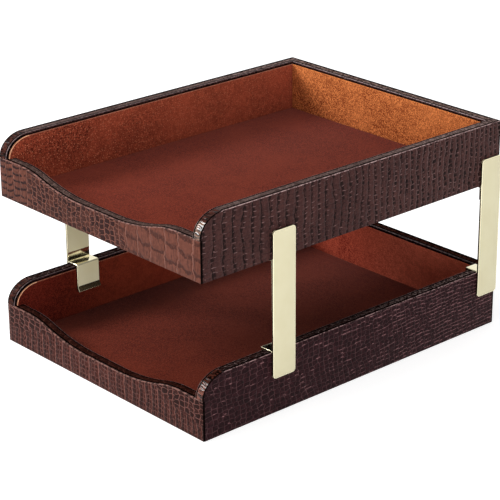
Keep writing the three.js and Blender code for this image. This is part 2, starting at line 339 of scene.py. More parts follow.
def leather_upper_outside(name, axis, low, high):
    """Tall wavy columns that grow narrow along the wall, with light nicks across them that are painted
    highlights on the upper edges of the scales. A dark line stands beside each column, with a ladder of
    small dark scales that widens further on."""
    s = Shader(name)
    along = getattr(s, axis)
    columns = scale_columns(s, along, s.z, low, high, 10.5 * MM, 5.6 * MM, 4.2 * MM)
    across = columns.across
    widening = s.plus(along, s.sway(20 * MM, 30 * MM))
    further = s.ramp(widening, 0.6 * low + 0.4 * high, 0.2 * low + 0.8 * high)
    line = s.times(s.ramp(across, 0.0, 0.04), s.ramp(across, 0.08, 0.14, 1, 0))
    line = s.times(line, s.patches(5 * MM, 0.4, 0.5, 0.35, 0.95))
    reach = s.blend(further, 0.26, 0.42)
    rung = s.ramp(columns.to_cross, 0.08, 0.18, 0.1, 1)
    ladder = s.times(s.ramp(across, reach, s.plus(reach, 0.12), 1, 0), rung)
    ladder = s.times(ladder, s.patches(1.8 * MM, 0.4, 0.54, stretch=(1, 1, 1.6)))
    groove = s.larger(line, s.times(ladder, s.blend(further, 0.8, 0.9)))
    # Painted highlights: light nicks across the columns, on the upper edges of the scales.
    glint_nick = s.times(s.ramp(columns.to_cross, 0.02, 0.09, 1, 0), s.ramp(across, 0.4, 0.55, 1, 0))
    glint_nick = s.times(glint_nick, s.patches(3.5 * MM, 0.47, 0.54))
    ledge = s.times(s.ramp(columns.to_groove, 0.02, 0.08, 1, 0), s.blend(further, 0, 0.6))
    cross = s.larger(s.times(glint_nick, 0.8), ledge)
    scale_tone = s.times(columns.tone, s.blend(further, 0.6, 1))
    streak = s.times(s.patches(1.4 * MM, 0.4, 0.62, stretch=(1, 1, 7)), s.blend(further, 0.3, 1))
    tone = s.blend(0.6, scale_tone, streak)
    height = s.times(s.ramp(columns.to_groove, 0.0, 0.2), s.ramp(columns.to_cross, 0.0, 0.16, 0.4, 1))
    # Painted shade: this side and back leather is darker than the front leather, for the light falling less
    # on it.
    looks = Looks(tint(38, 20, 20), tint(76, 47, 44), groove=tint(8, 4, 4), cross=tint(124, 96, 94))
    return glaze(s, tone, groove, cross, height, looks)


def leather_lower_outside(name, axis):
    """Rounded scales in rows that lean a little, smaller towards the back. Thin lighter lines outline
    them, and some carry a painted glint at their lower side, most towards the back."""
    s = Shader(name)
    place = getattr(s, axis)
    along = s.plus(s.plus(place, s.times(s.z, 0.12)), s.sway(40 * MM, 5 * MM))
    up = s.plus(s.plus(s.z, s.times(place, -0.04)), s.sway(40 * MM, 3 * MM))
    up = s.times(up, s.math("MULTIPLY_ADD", along, 1.0, 1.0))
    along = s.times(along, s.math("MULTIPLY_ADD", along, 0.5, 1.0))
    scales = round_scales(s, scale_places(s, along, up, 3.7 * MM, 1.4), 0.4)
    line = s.times(s.ramp(scales.to_edge, 0.0, 0.05, 1, 0), s.patches(9 * MM, 0.42, 0.58, 0.05, 0.2))
    at_back = s.ramp(place, -60 * MM, 110 * MM)
    patch = s.plus(s.noise(7 * MM), s.times(at_back, 0.2))
    # Painted glints: the lower side of some scales is painted bright, most towards the back.
    painted_shine = s.times(s.ramp(scales.under, 0.2, 0.28), s.ramp(scales.under, 0.34, 0.42, 1, 0))
    painted_shine = s.times(painted_shine, s.ramp(scales.to_edge, 0.0, 0.06))
    painted_shine = s.times(painted_shine, s.ramp(patch, 0.59, 0.65))
    heart = s.times(s.ramp(scales.to_edge, 0.02, 0.14), s.patches(3 * MM, 0.36, 0.56, 0.1, 0.7))
    height = s.ramp(scales.to_edge, 0.0, 0.16)
    # Painted shade: this side and back leather is darker than the front leather, for the light falling less
    # on it.
    looks = Looks(tint(31, 11, 14), tint(51, 24, 28), groove=tint(15, 5, 7), cross=tint(154, 110, 112))
    return glaze(s, scales.tone, heart, s.larger(line, painted_shine), height, looks)


def leather_upper_front():
    """Plates with dark bands that hang across them: narrow plates with close bands at the left end, wide
    plates with slanting rows at the right end. Between them lies a field of small round scales."""
    s = Shader("leather_upper_front")
    slant = s.plus(s.z, s.times(s.x, 0.14))
    spacing = (-HALF_WIDTH, HALF_WIDTH, 9 * MM, 19 * MM)
    close = scale_columns(s, s.x, s.z, *spacing, 6.0 * MM, sway=2.2 * MM, lean=0.3, shift=0.6, sag=0.1)
    wide = scale_columns(s, s.x, slant, *spacing, 12.5 * MM, sway=2.2 * MM, lean=0.04, shift=0.15,
                         sag=0.07)
    fine = scale_columns(s, s.x, s.z, -HALF_WIDTH, HALF_WIDTH, 5.6 * MM, 6.2 * MM, 4.2 * MM, lean=0.4)
    scales = round_scales(s, fine.place, 0.42)
    border = s.plus(s.x, s.sway(22 * MM, 14 * MM))
    field = s.times(s.ramp(border, -88 * MM, -80 * MM), s.ramp(border, 28 * MM, 40 * MM, 1, 0))
    at_right = s.ramp(s.x, -60 * MM, 0.0)
    tooth = s.patches(1.3 * MM, 0.32, 0.5, 0.35, 1, stretch=(1, 1, 3))
    left_band = s.times(s.ramp(close.above, 0.0, 0.08), s.ramp(close.above, 0.24, 0.46, 1, 0))
    right_band = s.times(s.ramp(wide.above, 0.0, 0.04), s.ramp(wide.above, 0.16, 0.36, 1, 0))
    band = s.blend(at_right, left_band, s.times(right_band, 0.62))
    breaks = s.times(s.ramp(wide.to_groove, 0.02, 0.07), s.patches(13 * MM, 0.3, 0.42))
    band = s.times(s.times(band, tooth), breaks)
    hair = s.times(s.patches(1.2 * MM, 0.5, 0.66, stretch=(1, 1, 7)), 0.4)
    pit = s.times(s.ramp(scales.to_edge, 0.03, 0.12), s.ramp(scales.tone, 0.1, 0.7, 0.55, 0.9))
    groove = s.blend(field, s.larger(band, hair), pit)
    ridge = s.times(s.ramp(wide.to_groove, 0.01, 0.04, 1, 0), s.patches(8 * MM, 0.34, 0.5, 0.2, 0.8))
    cross = s.blend(field, ridge, s.times(s.ramp(scales.to_edge, 0.0, 0.07, 1, 0), 0.35))
    plates = s.times(s.ramp(wide.to_groove, 0.0, 0.1), s.ramp(band, 0.0, 0.8, 1, 0.3))
    height = s.blend(field, plates, s.ramp(scales.to_edge, 0.0, 0.22))
    tone = s.blend(0.6, s.blend(field, wide.tone, scales.tone), s.ramp(s.x, -HALF_WIDTH, HALF_WIDTH))
    # Painted light: this front leather is lighter than the side and back leather, for the light falling on
    # the front.
    looks = Looks(tint(86, 46, 34), tint(124, 74, 61), groove=tint(38, 23, 24), cross=tint(148, 100, 86))
    return glaze(s, tone, groove, cross, height, looks)


def leather_lower_front():
    """Upright columns, wide in the middle and narrow at the ends, each with a light ridge, dark scales
    beside it and a plain flank. In the corners the columns break up into small scales."""
    s = Shader("leather_lower_front")
    widest = -15 * MM
    columns = scale_columns(s, s.x, s.z, widest, HALF_WIDTH, 14 * MM, 5.6 * MM, 4.2 * MM, sway=1.2 * MM)
    across = columns.across
    scales = round_scales(s, columns.place, 0.42)
    thirds = s.add("ShaderNodeVectorMath", operation="MULTIPLY")
    s.feed(thirds.inputs[0], columns.place)
    thirds.inputs[1].default_value = (3.0, 1.1, 0.0)
    small = round_scales(s, thirds.outputs[0], 0.4)
    corner = s.plus(s.plus(s.z, s.sway(12 * MM, 8 * MM)), s.times(s.math("ABSOLUTE", s.x), 0.25))
    field = s.ramp(corner, 41 * MM, 45 * MM)
    ridge = s.times(s.ramp(columns.to_groove, 0.02, 0.065, 1, 0), s.patches(3 * MM, 0.32, 0.46, 0.4, 1))
    row = s.times(s.ramp(small.to_edge, 0.03, 0.16, 1, 0), s.patches(4 * MM, 0.42, 0.58, 0.05, 0.36))
    cross = s.blend(field, s.larger(ridge, row), s.ramp(scales.to_edge, 0.0, 0.08, 0.7, 0))
    from_widest = s.math("ABSOLUTE", s.plus(s.x, -widest))
    reach = s.ramp(from_widest, 10 * MM, 70 * MM, 0.12, 0.42)
    dark = s.times(s.ramp(across, 0.03, 0.09), s.ramp(across, reach, s.plus(reach, 0.14), 1, 0))
    broken = s.times(s.patches(2.5 * MM, 0.34, 0.5, 0.3, 1), s.ramp(small.to_edge, 0.02, 0.2, 0.4, 1))
    dark = s.times(dark, broken)
    dark = s.times(dark, s.ramp(from_widest, 20 * MM, 70 * MM, 0.6, 0.9))
    heart = s.times(s.ramp(small.to_edge, 0.08, 0.3), s.ramp(small.tone, 0.2, 0.7, 0.1, 0.65))
    pit = s.times(s.ramp(scales.to_edge, 0.03, 0.16), s.ramp(scales.tone, 0.1, 0.6, 0.45, 0.85))
    groove = s.blend(field, s.larger(dark, heart), pit)
    plates = s.times(s.ramp(columns.to_groove, 0.0, 0.25), s.ramp(small.to_edge, 0.0, 0.2, 0.4, 1))
    height = s.blend(field, plates, s.ramp(scales.to_edge, 0.0, 0.2))
    tone = s.blend(field, s.blend(0.5, columns.tone, s.ramp(across, 0.45, 0.8)), scales.tone)
    # Painted light: this front leather is lighter than the side and back leather, for the light falling on
    # the front.
    looks = Looks(tint(64, 31, 26), tint(88, 46, 39), groove=tint(31, 18, 17), cross=tint(146, 97, 88))
    return glaze(s, tone, groove, s.times(cross, 0.85), height, looks)


def leather_rim(name, dark, light, painted_shine):
    """The strip along the top of the walls: small scales pulled flat, with painted glints in ticks between
    them. The scales themselves carry a painted sheen that makes them pale, most towards the back."""
    s = Shader(name)
    mottle = s.noise(1.6 * MM, 3, 0.6)
    places = scale_places(s, s.plus(s.y, s.x), s.plus(s.x, s.times(s.y, -1)), 6.2 * MM)
    scales = round_scales(s, places)
    # Painted glints: light ticks between the scales.
    glint_tick = s.times(s.ramp(scales.to_edge, 0.02, 0.1, 1, 0), s.patches(2.6 * MM, 0.44, 0.56))
    shade = s.plus(s.times(scales.tone, 0.5), s.times(s.ramp(mottle, 0.3, 0.7), 0.5))
    color = s.mix(shade, dark, light)
    color = s.mix(s.times(glint_tick, 0.5), color, painted_shine)
    # Painted sheen: the scales are painted paler, most towards the back.
    painted_sheen = s.times(s.ramp(scales.to_edge, 0.06, 0.18), s.ramp(s.y, -20 * MM, 120 * MM, 0.1, 0.95))
    painted_sheen = s.times(painted_sheen, s.patches(2.2 * MM, 0.44, 0.56))
    color = s.mix(painted_sheen, color, painted_shine)
    normal = s.bump(mottle, 0.12 * MM, 0.4)
    normal = s.bump(s.ramp(scales.to_edge, 0.0, 0.25), 0.3 * MM, 0.8, normal)
    rough = s.ramp(mottle, 0.3, 0.7, 0.5, 0.64)
    return s.finish(color=color, roughness=rough, specular=0.0, normal=normal)


def leather_nose(name, dark, light, gloss):
    """The glossy pleats of the leather that is drawn round the noses."""
    s = Shader(name)
    crease = s.noise(1.6 * MM, stretch=(2.2, 1, 1))
    color = s.mix(s.ramp(crease, 0.35, 0.65), dark, light)
    rough = s.ramp(crease, 0.3, 0.7, 0.12, 0.18)
    normal = s.bump(crease, 0.12 * MM, 0.6)
    return s.finish(color=color, roughness=rough, specular=gloss, normal=normal)


def leather_edge(name, dark, light, gloss=0.1):
    """The turned edge beside the rim's seam, with painted highlights in dashes along it."""
    s = Shader(name)
    glint_dash = s.patches(2.2 * MM, 0.4, 0.58)
    rough = s.ramp(glint_dash, 0, 1, 0.5, 0.35)
    return s.finish(color=s.mix(glint_dash, dark, light), roughness=rough, specular=gloss,
                    normal=s.bump(glint_dash, 0.1 * MM))


def seam():
    """The dark line where two edges of leather meet. It also carries the painted shade on the inner
    side of the walls.
    """
    s = Shader("leather_seam_and_shade")
    fleck = s.noise(1.2 * MM, 3)
    color = s.mix(s.ramp(fleck, 0.3, 0.7), tint(6, 4, 4), tint(18, 12, 11))
    return s.finish(color=color, roughness=0.7, specular=0.0, normal=s.bump(fleck, 0.1 * MM))


def suede(name, deep, bright, pore, pore_share, painted_light_along=None):
    """Brushed suede: a mottled nap with the hide's pores, which show most towards the front. The last
    argument gives an axis, the two places in millimetres between which the nap is painted paler along
    it as painted light, and the colour that it goes half way to."""
    s = Shader(name)
    nap = s.noise(0.85 * MM, 4, 0.75)
    fibre = s.noise(0.3 * MM)
    color = s.mix(s.ramp(nap, 0.43, 0.57), deep, bright)
    if painted_light_along:
        # Painted light: the nap is painted paler along the axis.
        axis, low, high, lit_tint = painted_light_along
        color = s.mix(s.ramp(getattr(s, axis), low * MM, high * MM, 0.0, 0.5), color, lit_tint)
    color = s.mix(s.times(s.ramp(s.noise(4.5 * MM, 3, 0.6), 0.4, 0.66), 0.25), color, deep)
    color = s.mix(s.times(s.patches(40 * MM, 0.4, 0.7), 0.35), color, bright)
    color = s.mix(s.times(s.patches(0.7 * MM, 0.5, 0.75), 0.5), color, deep)
    spread = s.add("ShaderNodeVectorMath", operation="SCALE")
    s.feed(spread.inputs[0], s.place)
    spread.inputs["Scale"].default_value = 1 / (2.1 * MM)
    pores = s.ramp(s.cells(spread.outputs[0], 0.6)["Distance"], 0.14, 0.28, 1.0, 0.0)
    showing = s.ramp(s.y, -160 * MM, 60 * MM, pore_share, pore_share * 0.5)
    color = s.mix(s.times(pores, showing), color, pore)
    height = s.math("SUBTRACT", s.plus(nap, s.times(fibre, 0.4)), s.times(pores, 0.5))
    return s.finish(color=color, roughness=0.92, specular=0.03, sheen=0.04, sheen_roughness=0.5,
                    normal=s.bump(height, 0.16 * MM, 0.7))


def polished_brass(name, dark, light, metallic):
    """Pale lacquered brass with a trace of the polishing wheel."""
    s = Shader(name)
    wheel = s.noise(0.35 * MM, stretch=(1, 1, 40))
    haze = s.noise(24 * MM)
    color = s.mix(s.ramp(haze, 0.3, 0.7), dark, light)
    rough = s.plus(s.ramp(wheel, 0.3, 0.7, 0.21, 0.23), s.ramp(haze, 0.4, 0.7, 0.0, 0.02))
    normal = s.bump(wheel, 0.002 * MM, 0.1)
    return s.finish(color=color, metallic=metallic, roughness=rough, specular=0.5, normal=normal)


def mirror_brass():
    """The bends, rounded edges and feet of the posts, as bright as a mirror. It is paler than the other
    brass: a painted highlight along the rounded edges.
    """
    s = Shader("brass_mirror")
    wheel = s.noise(0.35 * MM, stretch=(1, 40, 1))
    color = s.mix(s.ramp(wheel, 0.3, 0.7), tint(240, 230, 192), tint(250, 243, 212))
    rough = s.ramp(wheel, 0.3, 0.7, 0.1, 0.16)
    return s.finish(color=color, metallic=1.0, roughness=rough, normal=s.bump(wheel, 0.002 * MM, 0.1))


def brass_painted_shade():
    """Painted shade on the sawn edges of the posts and on the lip of the clip, darker than their
    polished faces.
    """
    s = Shader("brass_painted_shade")
    wheel = s.noise(0.8 * MM)
    color = s.mix(s.ramp(wheel, 0.3, 0.7), tint(34, 27, 16), tint(70, 58, 38))
    return s.finish(color=color, metallic=0.8, roughness=s.ramp(wheel, 0.3, 0.7, 0.3, 0.42), specular=0.3)


def base_felt():
    """Short black felt under each tray."""
    s = Shader("felt")
    fibre = s.noise(0.6 * MM, 4, 0.7)
    color = s.mix(s.ramp(fibre, 0.3, 0.7), tint(24, 21, 21), tint(48, 44, 43))
    color = s.mix(s.times(s.patches(5 * MM, 0.5, 0.8), 0.3), color, tint(62, 57, 55))
    return s.finish(color=color, roughness=1.0, specular=0.05, normal=s.bump(fibre, 0.3 * MM))


def fibreboard():
    """Raw board between the leather and the lining."""
    s = Shader("board")
    fleck = s.noise(1.4 * MM, 4, 0.7)
    color = s.mix(s.ramp(fleck, 0.3, 0.7), tint(120, 96, 68), tint(164, 138, 102))
    return s.finish(color=color, roughness=0.9, specular=0.1, normal=s.bump(fleck, 0.1 * MM))


UPPER_SIDE = leather_upper_outside("leather_upper_side", "y", FRONT, BACK)
UPPER_BACK = leather_upper_outside("leather_upper_back", "x", -HALF_WIDTH, HALF_WIDTH)
LOWER_SIDE = leather_lower_outside("leather_lower_side", "y")
LOWER_BACK = leather_lower_outside("leather_lower_back", "x")
UPPER_FRONT = leather_upper_front()
LOWER_FRONT = leather_lower_front()
SIDE_RIM = leather_rim("leather_rim_side", tint(56, 44, 41), tint(100, 82, 78), tint(146, 124, 120))
LOWER_SIDE_RIM = leather_rim("leather_rim_lower_side", tint(10, 5, 5), tint(42, 21, 18),
                             tint(138, 118, 115))
CROSS_RIM = leather_rim("leather_rim_cross", tint(47, 33, 30), tint(88, 69, 64), tint(142, 119, 111))
LOWER_CROSS_RIM = leather_rim("leather_rim_lower_cross", tint(18, 7, 5), tint(52, 24, 19),
                              tint(96, 56, 46))
# Painted highlights: the fronts of the right walls' noses get lighter, glossier copies of the plain nose
# leather, the upper one the lightest.
LIT_UPPER_RIGHT_NOSE = leather_nose("leather_nose_upper_right_lit", tint(20, 10, 7), tint(142, 106, 86), 0.42)
LIT_LOWER_RIGHT_NOSE = leather_nose("leather_nose_lower_right_lit", tint(16, 6, 4), tint(128, 72, 58), 0.2)
PLAIN_NOSE = leather_nose("leather_nose_plain", tint(14, 6, 4), tint(76, 38, 29), 0.04)
# Painted highlights: the light dashes of the edges. The upper right wall's edge is painted lightest, and the
# inner edge, lighter and glossier, carries a painted glint along the inner edges.
SIDE_EDGE = leather_edge("leather_edge_side", tint(92, 68, 68), tint(172, 144, 142))
LOWER_SIDE_EDGE = leather_edge("leather_edge_lower_side", tint(48, 30, 30), tint(148, 118, 117))
CROSS_EDGE = leather_edge("leather_edge_cross", tint(62, 37, 31), tint(142, 100, 90))
# Painted shade: a dark copy of the edge leather for the outer edges of the left and back walls.
PAINTED_SHADE_EDGE = leather_edge("leather_edge_painted_shade", tint(6, 4, 3), tint(26, 17, 15), 0.0)
INNER_EDGE = leather_edge("leather_edge_inner", tint(54, 38, 38), tint(118, 92, 92), 0.5)
SEAM_AND_SHADE = seam()
# Painted light: the rust suede is painted paler towards the back.
RUST_SUEDE = suede("suede_rust", tint(60, 16, 11), tint(165, 76, 52), tint(208, 130, 96), 0.75,
                   ("y", -140, 60, tint(158, 76, 52)))
TAN_SUEDE = suede("suede_tan", tint(112, 39, 14), tint(240, 145, 81), tint(118, 44, 17), 0.5)
# Painted shade: the floors get a darker copy of the wall suede, against the stronger light from above.
FLOOR_SUEDE = suede("suede_floor", tint(82, 27, 18), tint(126, 52, 34), tint(146, 78, 54), 0.4)
# Painted shade: the lower tray's side and front walls get a darker, redder copy of the rust suede, for the
# shade under the upper tray. It is painted paler towards the back as painted light.
SHADED_RED_SUEDE = suede("suede_red_painted_shade", tint(40, 6, 4), tint(108, 35, 23), tint(120, 48, 32), 0.4,
                  ("y", -140, -20, tint(156, 66, 42)))
# Painted light: the lower back wall's suede is painted paler towards the right.
LOWER_BACK_SUEDE = suede("suede_lower_back", tint(108, 29, 20), tint(194, 88, 64), tint(110, 34, 22), 0.5,
                         ("x", -50, 50, tint(255, 130, 100)))
# Painted highlights on the rounded edges of the side linings, fainter along their straight top.
SUEDE_EDGE_HIGHLIGHT = suede("suede_edge_painted_highlight", tint(204, 132, 96), tint(246, 190, 152), tint(214, 140, 100), 0.3)
SUEDE_TOP_HIGHLIGHT = suede("suede_top_painted_highlight", tint(110, 56, 42), tint(176, 108, 84), tint(140, 80, 60), 0.3)
BRASS = polished_brass("brass", tint(204, 196, 162), tint(208, 201, 168), 0.25)
# Painted light: the brass faces turned inwards, in shade between the trays, get a paler, nearly unmetallic
# copy of the brass.
BRASS_PAINTED_LIGHT = polished_brass("brass_painted_light", tint(244, 234, 192), tint(248, 240, 202), 0.05)
BRASS_MIRROR = mirror_brass()
BRASS_PAINTED_SHADE = brass_painted_shade()
FELT = base_felt()
BOARD = fibreboard()


# Modelling by hand, in code

def deselect_all():
    if bpy.context.mode != "OBJECT":
        bpy.ops.object.mode_set(mode="OBJECT")
    bpy.ops.object.select_all(action="DESELECT")


def take(piece):
    """Makes a piece the only one that is selected."""
    deselect_all()
    bpy.context.view_layer.objects.active = piece
    piece.select_set(True)


def edit(piece):
    take(piece)
    bpy.ops.object.mode_set(mode="EDIT")
    bpy.ops.mesh.select_all(action="SELECT")


def leave():
    bpy.ops.object.mode_set(mode="OBJECT")


def block(name, low, high):
    """A block between two corners, with its place in its mesh."""
    deselect_all()
    low, high = Vector(low), Vector(high)
    bpy.ops.mesh.primitive_cube_add(size=1, location=(low + high) / 2, scale=high - low)
    bpy.ops.object.transform_apply(location=True, rotation=False, scale=True)
    bpy.context.object.name = name
    return bpy.context.object


def near(a, b, within=0.02 * MM):
    return abs(a - b) < within


def pick(kind, test):
    """Selects the points, edges or faces whose place, and for faces their normal, pass a test."""
    bpy.ops.mesh.select_mode(type=kind)
    bpy.ops.mesh.select_all(action="DESELECT")
    mesh = bpy.context.object.data
    shape = bmesh.from_edit_mesh(mesh)
    for point in shape.verts if kind == "VERT" else []:
        point.select_set(test(point.co))
    for line in shape.edges if kind == "EDGE" else []:
        line.select_set(test(*(end.co for end in line.verts)))
    for face in shape.faces if kind == "FACE" else []:
        if test(face.calc_center_median(), face.normal):
            face.select_set(True)
    shape.select_flush_mode()
    bmesh.update_edit_mesh(mesh)


def cover(slot):
    """Gives the selected faces the material of a slot."""
    bpy.context.object.active_material_index = slot
    bpy.ops.object.material_slot_assign()


def paint(slot, test):
    """Gives the faces that pass a test the material of a slot."""
    pick("FACE", test)
    cover(slot)


def cut(axis, place):
    """Cuts the piece all round with a plane across an axis."""
    bpy.ops.mesh.select_all(action="SELECT")
    normal = Vector((axis == "X", axis == "Y", axis == "Z"))
    bpy.ops.mesh.bisect(plane_co=normal * place, plane_no=normal, use_fill=False)


def merge_points(within=0.03 * MM):
    """Joins the points that lie in one place."""
    bpy.ops.mesh.select_all(action="SELECT")
    bpy.ops.mesh.remove_doubles(threshold=within)


def merge_flat(within=0.03 * MM):
    """Joins the faces that lie in one plane."""
    merge_points(within)
    bpy.ops.mesh.dissolve_limited(angle_limit=math.radians(FLAT_ANGLE))


def ease_edges(width, segments, slot=0):
    """Rounds every sharp edge, and gives the rounding a material."""
    bpy.ops.mesh.select_mode(type="EDGE")
    bpy.ops.mesh.select_all(action="DESELECT")
    bpy.ops.mesh.edges_select_sharp(sharpness=math.radians(SHARP_ANGLE))
    bpy.ops.mesh.bevel(offset=width, segments=segments, profile=0.5, affect="EDGES", clamp_overlap=True,
                       material=slot)


def sink_seam(on_seam):
    """Presses a dark seam into the faces that pass the test."""
    pick("FACE", on_seam)
    bpy.ops.mesh.extrude_region_shrink_fatten(TRANSFORM_OT_shrink_fatten={"value": -SEAM_DEPTH})
    bpy.ops.mesh.select_more()
    cover(ON_SEAM_AND_SHADE)


def dress(piece, faces, rim, edge):
    """The leathers of a hide: its face, the rim, the outer edge, the seam, the top of the nose, the inner
    edge and the front of the nose."""
    piece.data.materials.clear()
    for material in (faces, rim, edge, SEAM_AND_SHADE, PLAIN_NOSE, INNER_EDGE, PLAIN_NOSE):
        piece.data.materials.append(material)


def round_nose():
    """Gives the block of a side wall its front edge and rounds it to the nose."""
    def at_corner(place):
        return near(place.y, FRONT) and near(place.z, WALL_HEIGHT)

    just_under = 0.999
    cut("Z", FRONT_HEIGHT)
    pick("FACE", lambda place, normal: normal.y < -0.9 and place.z > FRONT_HEIGHT)
    bpy.ops.mesh.extrude_region_move(TRANSFORM_OT_translate={"value": (0, -LEATHER, 0)})
    merge_flat()
    pick("EDGE", lambda start, stop: at_corner(start) and at_corner(stop))
    bpy.ops.mesh.bevel(offset=NOSE_RISE * just_under, segments=NOSE_STEPS, profile=0.5, affect="EDGES",
                       clamp_overlap=False)
    merge_points()
    pick("VERT", lambda place: place.z > FRONT_HEIGHT + 0.1 * MM and place.y < FRONT + NOSE_RISE + 0.1 * MM)
    bpy.ops.transform.resize(value=(1, NOSE_DEPTH / NOSE_RISE, 1), center_override=(0, FRONT, 0))


def make_side_hide():
    """The leather of the lower tray's right wall, with its rounded nose drawn in pleats."""
    low = (INNER_X, FRONT + LEATHER, 0)
    piece = block("lower_right_hide", low, (HALF_WIDTH, BACK - LEATHER, WALL_HEIGHT))
    dress(piece, LOWER_SIDE, LOWER_SIDE_RIM, LOWER_SIDE_EDGE)
    edit(piece)
    round_nose()
    ease_edges(EASED_EDGE, 3)
    outer = (HALF_WIDTH - BEAD - SEAM_WIDTH, HALF_WIDTH - BEAD)
    inner = (INNER_X + INNER_BEAD, INNER_X + INNER_BEAD + INNER_SEAM_WIDTH)
    band = [inner[1] + (outer[0] - inner[1]) * k / BAND_STRIPS for k in range(1, BAND_STRIPS)]
    for place in (*outer, *inner, *band):
        cut("X", place)
    nose_foot = FRONT_HEIGHT + 0.4 * MM

    def on_top(place, normal):
        return place.z > nose_foot and abs(normal.x) < 0.8 and (normal.z > 0.1 or normal.y < -0.3)

    def on_nose(place):
        return place.y < NOSE_CENTRE - 2 * MM and place.z > FRONT_HEIGHT + 0.1 * MM

    paint(ON_RIM, lambda place, normal: on_top(place, normal) and place.x < outer[0])
    paint(ON_NOSE_TOP, lambda place, normal: on_top(place, normal) and place.x < outer[0] and on_nose(place))
    paint(ON_RIM, lambda place, normal: on_top(place, normal) and place.x > outer[1] and not on_nose(place))
    paint(ON_EDGE, lambda place, normal: near(place.z, WALL_HEIGHT, EASED_EDGE) and 0.05 < normal.x < 0.99)
    paint(ON_NOSE_TOP, lambda place, normal: on_top(place, normal) and outer[0] < place.x < outer[1]
          and on_nose(place))
    paint(ON_NOSE_FRONT, lambda place, normal: on_top(place, normal) and place.x < outer[1]
          and on_nose(place) and place.z < NOSE_FRONT_TOP)
    paint(ON_SEAM_AND_SHADE, lambda place, normal: on_nose(place) and place.x > outer[1] and normal.x < 0.95)
    paint(ON_SEAM_AND_SHADE, lambda place, normal: place.y < FRONT + LEATHER + EASED_EDGE and normal.x > 0.05)
    paint(ON_INNER_EDGE, lambda place, normal: place.x < INNER_X + EASED_EDGE and place.z > nose_foot
          and -0.99 < normal.x < -0.05)
    shade_under_rim(lambda place, normal: near(place.x, INNER_X) and normal.x < -0.9)
    pleat_nose(outer[1] - 0.2 * MM, inner[1] + 0.2 * MM)
    sink_seam(lambda place, normal: inner[0] < place.x < inner[1] and on_top(place, normal))
    sink_seam(lambda place, normal: outer[0] < place.x < outer[1] and on_top(place, normal)
              and not on_nose(place))
    leave()
    return piece


def shade_under_rim(on_inner_side):
    """Paints shade on the inner side of a wall, from a little under its rim down to the suede, in the
    seam's dark leather.
    """
    pick("FACE", on_inner_side)
    bpy.ops.mesh.bisect(plane_co=(0, 0, SHADE_TOP), plane_no=(0, 0, 1), use_fill=False)
    paint(ON_SEAM_AND_SHADE, lambda place, normal: on_inner_side(place, normal) and place.z < SHADE_TOP)


def shade_far_bead(piece):
    """Carries the painted shade of a far wall's outer edge over its flat top, as far as the seam."""
    edit(piece)
    paint(ON_EDGE, lambda place, normal: normal.z > 0.9 and near(place.z, WALL_HEIGHT)
          and place.y > NOSE_CENTRE and (place.x < BEAD - HALF_WIDTH or place.y > BACK - BEAD))
    leave()


def pleat_nose(outer, inner):
    """Draws the leather of the nose into pleats that zigzag across the band."""
    chance = random.Random(5)
    swing = [chance.uniform(0, 2 * math.pi) for _ in range(2)]

    def fold(place):
        turn = math.atan2(place.z - FRONT_HEIGHT, NOSE_CENTRE - place.y)
        across = (place.x - INNER_X) / WALL
        zigzag = PLEAT_SWING * math.sin(across * 3.2 + 2.4 * math.sin(turn * 3 + swing[0]))
        zigzag += PLEAT_SWING * math.sin(turn * 4 + swing[1])
        return math.cos(2 * math.pi * turn * PLEAT_RADIUS / PLEAT_PITCH + zigzag)

    def on_band(place):
        past = ((NOSE_CENTRE - place.y) / NOSE_DEPTH) ** 2 + ((place.z - FRONT_HEIGHT) / NOSE_RISE) ** 2
        on_nose = place.y < NOSE_CENTRE - 1 * MM and place.z > FRONT_HEIGHT + 1 * MM
        return inner < place.x < outer and on_nose and near(past, 1, 0.02)

    for level in (0.2, 0.6, 0.85):
        pick("VERT", lambda place: on_band(place) and fold(place) > level)
        bpy.ops.transform.shrink_fatten(value=-PLEAT_DEPTH / 3)


def scoop_drop(x):
    """How far the front wall's top lies under its ends."""
    turn = math.acos(1 - SCOOP_DEPTH / (SCOOP_HOLLOW_RADIUS + SCOOP_SHOULDER_RADIUS))
    place = abs(x) - SCOOP_FLAT / 2
    reach = (SCOOP_HOLLOW_RADIUS + SCOOP_SHOULDER_RADIUS) * math.sin(turn)
    if place <= 0:
        return SCOOP_DEPTH
    if place <= SCOOP_HOLLOW_RADIUS * math.sin(turn):
        return SCOOP_DEPTH - SCOOP_HOLLOW_RADIUS + math.sqrt(SCOOP_HOLLOW_RADIUS ** 2 - place ** 2)
    if place < reach:
        return SCOOP_SHOULDER_RADIUS - math.sqrt(SCOOP_SHOULDER_RADIUS ** 2 - (reach - place) ** 2)
    return 0.0


